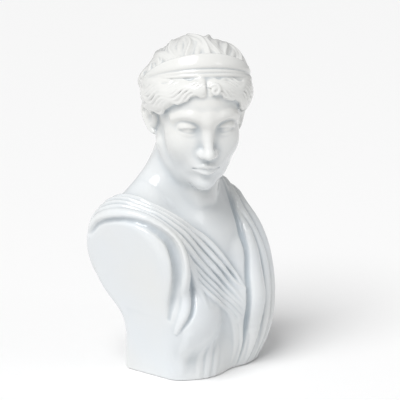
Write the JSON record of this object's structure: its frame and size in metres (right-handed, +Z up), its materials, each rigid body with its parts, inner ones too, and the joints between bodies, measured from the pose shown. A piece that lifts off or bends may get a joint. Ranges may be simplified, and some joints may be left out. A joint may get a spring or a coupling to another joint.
{
  "type": "ceramic bust",
  "caption": "Glazed white ceramic bust of a draped woman with bowed, turned head, waved hair and a diadem, for standing on a shelf or table.",
  "frame": {"origin": "centre of the bounding box, on the flat underside that stands on the table", "axes": "+Z up, the chest faces -Y, her left hand is at +X"},
  "size_m": [0.1792, 0.1168, 0.3],
  "materials": {
    "glazed_ceramic": "clear glossy glaze over a white body"
  },
  "bodies": {
    "root": {"bust": "glazed_ceramic"}
  },
  "joints": []
}
